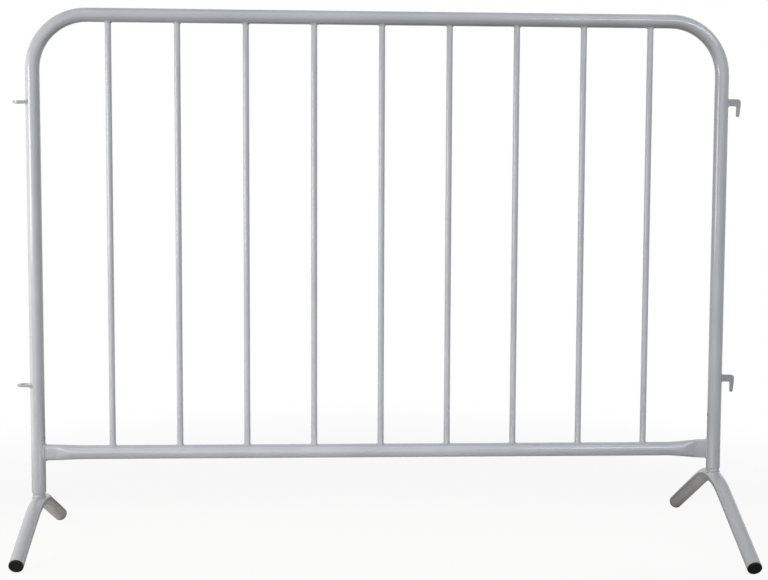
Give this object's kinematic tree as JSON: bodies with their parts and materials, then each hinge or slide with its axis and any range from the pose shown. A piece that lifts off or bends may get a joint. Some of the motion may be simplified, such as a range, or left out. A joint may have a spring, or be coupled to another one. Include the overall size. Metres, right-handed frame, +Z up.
{
  "type": "pedestrian barrier panel",
  "caption": "Free-standing pedestrian barrier panel: bent tube frame with upright bars and a bottom rail, linking hooks and eyes, and swivelling plug-in tube feet.",
  "frame": {"origin": "on the ground, midway between the uprights, in the middle plane of the panel", "axes": "+X along the panel from the eyes to the hooks, +Y across the panel, +Z up"},
  "size_m": [1.494, 0.5434, 1.1],
  "materials": {
    "paint": "glossy light grey paint on steel tube",
    "weld": "painted weld bead",
    "plug": "matt black moulded plastic"
  },
  "bodies": {
    "panel": {"frame_tube": "paint", "bottom_rail": "paint", "bar_1": "paint", "bar_2": "paint", "bar_3": "paint", "bar_4": "paint", "bar_5": "paint", "bar_6": "paint", "bar_7": "paint", "bar_8": "paint", "bar_9": "paint", "eye_upper": "paint", "eye_lower": "paint", "hook_upper": "paint", "hook_lower": "paint", "bar_top_welds": "weld", "bar_bottom_welds": "weld", "rail_end_welds": "weld", "eye_welds": "weld", "hook_welds": "weld"},
    "left_foot": {"left_foot_tube": "paint", "left_spigot": "paint", "left_front_plug": "plug", "left_back_plug": "plug", "left_spigot_weld": "weld"},
    "right_foot": {"right_foot_tube": "paint", "right_spigot": "paint", "right_front_plug": "plug", "right_back_plug": "plug", "right_spigot_weld": "weld"}
  },
  "joints": [
    {"name": "left_foot_swivel", "type": "hinge", "parent": "panel", "child": "left_foot", "pos_m": [-0.707, 0, 0.1101], "axis": [0, 0, 1], "continuous": true},
    {"name": "right_foot_swivel", "type": "hinge", "parent": "panel", "child": "right_foot", "pos_m": [0.707, 0, 0.1521], "axis": [0, 0, 1], "continuous": true}
  ]
}
